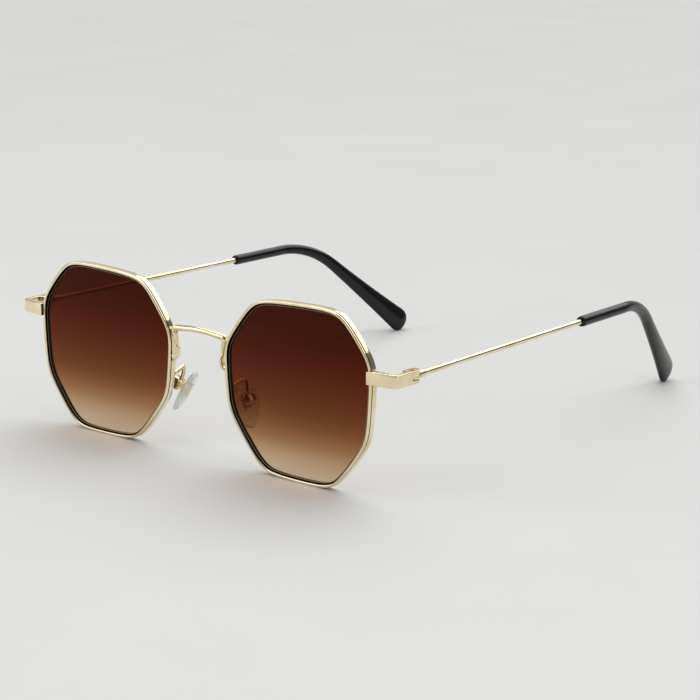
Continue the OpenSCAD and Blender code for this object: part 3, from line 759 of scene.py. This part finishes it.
def buildBridge(shape):
    foot, rise, behind, leg = shape["foot"], shape["rise"], shape["behind"], shape["leg"]
    stripTop = foot + shape["stripTo"]
    right = [spot(noseWall(base + level) - gap, behind, lensZ + base + height)
             for base, points in ((foot, shape["legPoints"]), (rise, shape["turnPoints"]))
             for level, gap, height in points]
    left = [Vector((-p.x, p.y, p.z)) for p in reversed(right)]
    line = smoothLine([*right, spot(0, behind, lensZ + rise + shape["arch"]), *left], shape["steps"])

    def flatness(z):
        return (ease((z - foot - shape["stripFrom"]) / shape["blend"])
                - ease((z - stripTop) / shape["blend"]))

    def share(z, strip):
        # a strip between round ends, then a wire that thickens up to the rod
        thicker = ease((z - stripTop - shape["clear"]) / (rise - stripTop - 2 * shape["clear"]))
        return (leg + (strip - leg) * flatness(z) + (shape["rod"] - leg) * thicker) / shape["rod"]

    stations = []
    for p in line:
        z = p.z / mm - lensZ
        power = 1 + (shape["stripPower"] - 1) * flatness(z)
        stations.append([p, share(z, shape["stripWide"]), share(z, shape["stripThick"]), power])
    mesh = wire("bridge_shape", stations, Vector((0, 1, 0)), shape["rod"], shape["rod"],
                shape["sides"], rimGold)
    merged = bmesh.new()
    merged.from_mesh(mesh)
    for way in (1, -1):
        # the stub that joins the rod to the rim
        inner, end = noseWall(rise) - shape["stubIn"], shape["stubLength"]
        reaches = [min(i * shape["stubStep"], end) for i in range(ceil(end / shape["stubStep"]) + 1)]
        stub = [[spot(way * (inner + reach), behind, lensZ + rise - shape["stubDrop"]), 1, 1]
                for reach in reaches]
        extra = wire("bridge_stub", stub, Vector((0, 1, 0)), leg, leg, shape["stubSides"], rimGold)
        merged.from_mesh(extra)
        bpy.data.meshes.remove(extra)
        height = stripTop + shape["beadRise"]
        addBead(merged, spot(way * (noseWall(height) - shape["beadIn"]), behind + shape["beadBack"],
                             lensZ + height), shape)
    merged.to_mesh(mesh)
    merged.free()
    return mesh


dress(linkUp("shown_bridge", buildBridge(bridgeShape)), "front", "bridge", rimGold)
print("bridge built")


# Fittings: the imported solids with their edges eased

fittingEase = {
    # width of the round edge in mm
    "widths": {"end_piece": 0.16, "closing_blocks": 0.12, "arm_shoulder": 0.1, "pad_box": 0.14,
               "pad_core": 0.08},
    # degrees: edges that turn by less than flatUnder go, and those over sharpOver are rounded
    "mergeMm": 0.002, "flatUnder": 1, "segments": 3, "sharpOver": 38, "softUnder": 30,
}


def eased(node, width, style):
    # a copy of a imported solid, merged and then rounded
    mesh = frame["nodes"][node].data.copy()
    shape = bmesh.new()
    shape.from_mesh(mesh)
    bmesh.ops.remove_doubles(shape, verts=shape.verts, dist=style["mergeMm"] * mm)
    bmesh.ops.dissolve_limit(shape, angle_limit=radians(style["flatUnder"]),
                             verts=shape.verts, edges=shape.edges)
    shape.to_mesh(mesh)
    shape.free()
    return rounded(mesh, node + "_eased", width, style)


for node, width in fittingEase["widths"].items():
    bodies = {"arm_shoulder": armBody, "pad_core": padBody}.get(node, frontBody)
    for side in ("left", "right"):
        piece = linkUp(f"shown_{side}_{node}", eased(f"{side}_{node}", width, fittingEase))
        dress(piece, bodies[side], f"{side}_{node}", fittingGold)
print("fittings eased")


# Screws

screwSizes = ("Shank", "Length", "Head", "Head height", "Slot width", "Slot depth")
screwShape = {
    # mm, in the order of screwSizes
    "lock_screw": (1.2, 2.5, 1.7, 0.5, 0.3, 0.25),
    "hinge_screw": (1.2, 3.05, 2.0, 0.45, 0.3, 0.25),
    "pad_screw": (0.7, 2.8, 1.4, 0.4, 0.2, 0.2),
    "lockOut": 2.1, "lockBack": 0.3,  # mm from the rim's outside, and behind the rim's middle
    "roundEdge": 0.06, "segments": 2, "sharpOver": 30, "softUnder": 30,
}


def makeScrewTree():
    tree, add, given = newTree("slottedScrew", {label: "NodeSocketFloat" for label in screwSizes})
    half, double = ({
        label: add("ShaderNodeMath", {0: given.outputs[label], 1: times}, operation="MULTIPLY")
        for label in labels} for times, labels in (
            (0.5, ("Shank", "Length", "Head", "Head height")), (2, ("Head", "Slot depth"))))
    shank = add("GeometryNodeMeshCylinder", {
        "Vertices": 32, "Radius": half["Shank"], "Depth": given.outputs["Length"]})
    head = add("GeometryNodeMeshCylinder", {
        "Vertices": 48, "Radius": half["Head"], "Depth": given.outputs["Head height"]})
    slotSize = add("ShaderNodeCombineXYZ", {
        0: double["Head"], 1: given.outputs["Slot width"], 2: double["Slot depth"]})
    slot = add("GeometryNodeMeshCube", {"Size": slotSize})
    headMiddle = add("ShaderNodeMath", {0: half["Length"], 1: half["Head height"]}, operation="ADD")
    headTop = add("ShaderNodeMath", {0: half["Length"], 1: given.outputs["Head height"]},
                  operation="ADD")
    raised = [add("GeometryNodeTransform", {
        "Geometry": shape, "Translation": add("ShaderNodeCombineXYZ", {2: height})})
        for shape, height in ((head, headMiddle), (slot, headTop))]
    cut = add("GeometryNodeMeshBoolean", {
        "Mesh 1": raised[0], "Mesh 2": raised[1]}, operation="DIFFERENCE", solver="EXACT")
    both = add("GeometryNodeJoinGeometry", {0: shank})
    tree.links.new(cut.outputs[0], both.inputs[0])
    closeTree(add, given, both)
    return tree


screwTree = makeScrewTree()


def buildScrew(node, middle, headWay):
    # middle is that of the shank
    sizes = {label: size * mm for label, size in zip(screwSizes, screwShape[node])}
    mesh = grown(node, bpy.data.meshes.new(node), screwTree, {**sizes, "Material": screwMetal})
    done = rounded(mesh, f"left_{node}_shape", screwShape["roundEdge"], screwShape)
    done.transform(Matrix.Translation(middle) @ headWay.to_track_quat("Z", "Y").to_matrix().to_4x4())
    return done


hingeAt = Vector(joints["left_arm_fold"]["pos_m"])
hingeWay = Vector(joints["left_arm_fold"]["axis"])
padPivot = Vector(joints["left_pad_rock"]["pos_m"])
padAxis = Vector(joints["left_pad_rock"]["axis"])
lockAt = spot(lensX + max(crossings(rimShape["hingeRise"])) + screwShape["lockOut"],
              rimShape["depth"] / 2 + screwShape["lockBack"], hingeZ)
hingeHead = screwShape["hinge_screw"][screwSizes.index("Head height")]
for node, middle, way in (
        ("lock_screw", lockAt, Vector((0, 0, -1))),
        ("hinge_screw", hingeAt - hingeHead / 2 * mm * hingeWay, hingeWay),
        ("pad_screw", padPivot, -padAxis)):
    pair(buildScrew(node, middle, way), node, frontBody, screwMetal)
print("screws built")


# Side arms

armShape = {
    # mm; the wire starts past the hinge, and its core ends inside the tip, past the tip's mouth
    "mouth": 82.5, "drawIn": 1.7, "wire": 1.5, "start": 4.0, "core": 15,
    "steps": 24, "endShares": (0.02, 0.998), "sides": 40,
}
mouthAt = Vector((hingeAt.x - armShape["drawIn"] * mm, frontY + armShape["mouth"] * mm, hingeAt.z))
armWay = (mouthAt - hingeAt).normalized()
armLength = (mouthAt - hingeAt).length / mm


def buildArmWire(shape):
    reach = armLength + shape["core"] - shape["start"]
    steps, (first, last) = shape["steps"], shape["endShares"]
    shares = [0, first, *(i / steps for i in range(1, steps)), last, 1]
    stations = [[hingeAt + (shape["start"] + reach * q) * mm * armWay, 1, 1] for q in shares]
    return wire("left_arm_wire_shape", stations, Vector((1, 0, 0)), shape["wire"], shape["wire"],
                shape["sides"], rimGold)


pair(buildArmWire(armShape), "arm_wire", armBody, rimGold)
print("arm wires built")


tipShape = {
    "straight": 21.5, "earRadius": 29, "earAngle": 41, "drawIn": 11.5, "drawPower": 1.1,
    "mouthHigh": 2.9, "endHigh": 7.4, "swellPower": 2, "thick": 3.0,
    # the rounded mouth: mm along the tip, share of its full size there
    "mouthRound": [(0, 0.55), (0.03, 0.68), (0.12, 0.82), (0.3, 0.94), (0.55, 0.99), (0.8, 1)],
    "cap": 3.6, "capPower": 0.8, "capTurn": 88,  # degrees; 90 would close the cap to a point
    "footCut": 0.2, "straightSteps": 5, "steps": 60, "capSteps": 24, "sides": 64, "softUnder": 60,
}


def buildTip(shape):
    angle = radians(shape["earAngle"])
    earLength = shape["earRadius"] * angle
    earDrop = shape["earRadius"] * (1 - cos(angle))
    capAngles = [radians(shape["capTurn"] * (i + 1) / shape["capSteps"])
                 for i in range(shape["capSteps"])]

    def capOut(a):
        return shape["cap"] * sin(a) ** shape["capPower"]

    def capHigh(a):
        return shape["endHigh"] / 2 * cos(a) ** shape["capPower"]

    capDrop = max(capOut(a) * sin(angle) + capHigh(a) * cos(angle) for a in capAngles)
    tail = (hingeZ - earDrop - capDrop + shape["footCut"]) / sin(angle)
    bend = earLength + tail
    straightEnd = mouthAt + shape["straight"] * mm * armWay

    def tipAt(s):
        # the middle of the tip, s mm along the bent part
        if s < earLength:
            a = s / shape["earRadius"]
            out, down = shape["earRadius"] * sin(a), -shape["earRadius"] * (1 - cos(a))
        else:
            out = shape["earRadius"] * sin(angle) + (s - earLength) * cos(angle)
            down = -earDrop - (s - earLength) * sin(angle)
        inwards = shape["drawIn"] * (s / bend) ** shape["drawPower"]
        return straightEnd + Vector((-inwards, out, down)) * mm

    def high(s):
        swell = (s / bend) ** shape["swellPower"]
        return shape["mouthHigh"] + (shape["endHigh"] - shape["mouthHigh"]) * swell

    full = shape["endHigh"]
    stations = [[mouthAt + out * mm * armWay, share, share * shape["mouthHigh"] / full]
                for out, share in shape["mouthRound"]]
    for i in range(shape["straightSteps"]):
        q = (i + 0.5) / shape["straightSteps"]
        stations.append([mouthAt.lerp(straightEnd, q), 1, shape["mouthHigh"] / full])
    for s in (bend * i / shape["steps"] for i in range(shape["steps"] + 1)):
        stations.append([tipAt(s), 1, high(s) / full])
    last = tipAt(bend)
    endWay = (last - tipAt(bend - 1)).normalized()
    stations += [[last + capOut(a) * mm * endWay, cos(a) ** shape["capPower"], 2 * capHigh(a) / full]
                 for a in capAngles]
    return wire("left_arm_tip_shape", stations, Vector((1, 0, 0)), shape["thick"], full,
                shape["sides"], tipAcetate, shape["softUnder"])


pair(buildTip(tipShape), "arm_tip", armBody, tipAcetate)
print("arm tips built")


# Nose pads

padShape = {
    "splay": 27, "lean": 30, "length": 12.4, "width": 7.2, "drop": 0.16,  # wider above than below
    "front": 1.4, "frontPower": 0.8, "rear": 1.1, "rearPower": 0.62,
    "pivotRise": 0.8, "pivotBack": 2.4, "rings": 20, "sides": 56, "softUnder": 80,
}
padTurn = (Matrix.Rotation(-radians(padShape["splay"]), 3, "Z")
           @ Matrix.Rotation(-radians(padShape["lean"]), 3, "Y"))
padAt = padPivot - padTurn @ Vector((padShape["pivotBack"], 0, padShape["pivotRise"])) * mm


def padSpot(x, y, z):
    # a place in mm on the turned pad: towards the rim, along its width, up its length
    return padAt + padTurn @ Vector((x, y, z)) * mm


def buildPad(shape):
    # a drop-shaped cushion of silicone: domed towards the nose, flatter at the back
    layers = []
    for i in range(shape["rings"] + 1):
        a = pi * i / shape["rings"]
        face = "front" if a < pi / 2 else "rear"
        share = sin(a) ** shape[face + "Power"] if 0 < i < shape["rings"] else 0
        layers.append((-shape[face] * cos(a), share))
    mould = bmesh.new()
    outward = mould.verts.layers.float.new("outwardShare")
    rings = []
    for depth, share in layers[1:-1]:
        ring = []
        for j in range(shape["sides"]):
            a = 2 * pi * j / shape["sides"]
            y = shape["width"] / 2 * sin(a) * (1 + shape["drop"] * cos(a)) * share
            z = shape["length"] / 2 * cos(a) * share
            ring.append(mould.verts.new(padSpot(depth, y, z)))
            ring[-1][outward] = share
        rings.append(ring)
    coverRings(mould, rings, [mould.verts.new(padSpot(layers[i][0], 0, 0)) for i in (0, -1)])
    return meshFrom(mould, "left_nose_pad_shape", shape["softUnder"])


padArmShape = {
    "wire": 1.1, "footDrop": 2.4, "loopRise": 1, "loopBack": 4.3,
    # from the foot on the rim, in mm outwards, back and up
    "root": (0, 0.7, 0.1), "low": (0.1, 2.2, 0.6),
    "loopIn": 0.75, "loopOut": 0.3,  # shares of the way to the loop and on from it
    "boxRadius": 1.45, "boxBack": 0.2, "lead": 1,  # the wire's straight end, above the pad box
    "steps": 12, "sides": 32,
}


def buildPadArm(shape):
    foot = Vector((noseWall(-shape["footDrop"]) + rimShape["wall"] / 2, rimShape["depth"],
                   lensZ - shape["footDrop"]))
    root, low = (spot(*(foot + Vector(shape[key]))) for key in ("root", "low"))
    above, end = (padSpot(padShape["pivotBack"] + shape["boxBack"], 0,
                          padShape["pivotRise"] + shape["boxRadius"] + lead)
                  for lead in (shape["lead"], 0))
    loop = spot((foot.x + above.x / mm) / 2, foot.y + shape["loopBack"], foot.z + shape["loopRise"])
    points = [spot(*foot), root, low, low.lerp(loop, shape["loopIn"]),
              loop.lerp(above, shape["loopOut"]), above, end]
    return wire("left_pad_arm_shape", [[p, 1, 1] for p in smoothLine(points, shape["steps"])],
                Vector((1, 0, 0)), shape["wire"], shape["wire"], shape["sides"], fittingGold)


pair(buildPad(padShape), "nose_pad", padBody, padSilicone)
pair(buildPadArm(padArmShape), "pad_arm", frontBody, fittingGold)
print("nose pads built")


# Floor, light and camera

stageLook = {
    "floor": "#e0e0de", "dusty": "#dddddb", "grainMm": 60, "rough": 0.7, "reach": 8,
    # polished metal mirrors a studio with one pale wall; wallFrom and wallTo are cosines of the
    # angle from the wall's middle
    "room": "#686968", "wall": "#c2c2c0", "wallWay": (-0.61, 0.76, 0.24), "wallFrom": 0.5,
    "wallTo": 0.9,
}


def buildStage(look):
    size = look["reach"]
    mesh = bpy.data.meshes.new("floor")
    corners = [(-size, -size, 0), (size, -size, 0), (size, size, 0), (-size, size, 0)]
    mesh.from_pydata(corners, [], [(0, 1, 2, 3)])
    floor = linkUp("floor", mesh)
    material, add, surface = newMaterial("matt_floor_paint")
    tone = cloudedTone(add, surface, look["grainMm"], 3, [(0.3, look["dusty"]), (0.7, look["floor"])])
    shader = add("ShaderNodeBsdfPrincipled", {"Base Color": tone, "Roughness": look["rough"]})
    add("ShaderNodeOutputMaterial", {"Surface": shader})
    mesh.materials.append(material)
    world = bpy.data.worlds.new("studio")
    world.use_nodes = True
    world.node_tree.nodes.clear()
    add = partial(addNode, world.node_tree)
    direction = add("ShaderNodeTexCoord").outputs["Generated"]
    towards = add("ShaderNodeVectorMath", {0: direction, 1: look["wallWay"]},
                  operation="DOT_PRODUCT").outputs["Value"]
    share = add("ShaderNodeMapRange", {
        "Value": towards, "From Min": look["wallFrom"], "From Max": look["wallTo"]})
    tone = add("ShaderNodeMix", {0: share, 6: colour(look["room"]), 7: colour(look["wall"])},
               data_type="RGBA").outputs[2]
    glow = add("ShaderNodeBackground", {"Color": tone})
    add("ShaderNodeOutputWorld", {"Surface": glow})
    scene.world = world


# wide is in degrees: it shines like a bright ceiling
overheadLight = {"from": (-0.05, 0.45, 1.0), "wide": 84, "strength": 2.3}
softBoxes = {
    # place, aim, size in m, watts
    "front": ((-0.46, -0.54, 0.34), (0, 0, 0.26), (0.5, 0.5), 1.3),
    "side": ((0.9, -0.2, 0.5), (0, 0, 0.1), (0.4, 0.8), 1.5),
}


def hangLamp(name, light, place, aim):
    lamp = linkUp(name, light)
    lamp.location = place
    lamp.rotation_euler = (Vector(aim) - Vector(place)).to_track_quat("-Z", "Y").to_euler()


def buildLamps():
    ceiling = bpy.data.lights.new("overhead", "SUN")
    ceiling.angle = radians(overheadLight["wide"])
    ceiling.energy = overheadLight["strength"]
    hangLamp("overhead", ceiling, overheadLight["from"], (0, 0, 0))
    for name, (place, aim, size, watts) in softBoxes.items():
        light = bpy.data.lights.new(name, "AREA")
        light.shape = "RECTANGLE"
        light.size, light.size_y = size
        light.energy = watts
        hangLamp(name, light, place, aim)


cameraView = {
    "place": (0.387548, -0.482218, 0.167189), "azimuth": -39.5385, "down": 13.8479, "roll": 0.2704,
    "lens": 116.009, "sensor": 36, "clipStart": 0.01,
}


def buildCamera(view):
    turn, tilt, roll = (radians(view[key]) for key in ("azimuth", "down", "roll"))
    look = Vector((cos(tilt) * sin(turn), cos(tilt) * cos(turn), -sin(tilt)))
    right = look.cross(Vector((0, 0, 1))).normalized()
    up = right.cross(look)
    right, up = cos(roll) * right + sin(roll) * up, cos(roll) * up - sin(roll) * right
    lens = bpy.data.cameras.new("camera")
    lens.lens = view["lens"]
    lens.sensor_width = view["sensor"]
    lens.clip_start = view["clipStart"]
    camera = linkUp("camera", lens)
    matrix = Matrix((right, up, -look)).transposed().to_4x4()
    matrix.translation = view["place"]
    camera.matrix_world = matrix
    scene.camera = camera


buildStage(stageLook)
buildLamps()
buildCamera(cameraView)
scene.view_settings.view_transform = "Standard"
print("stage ready")
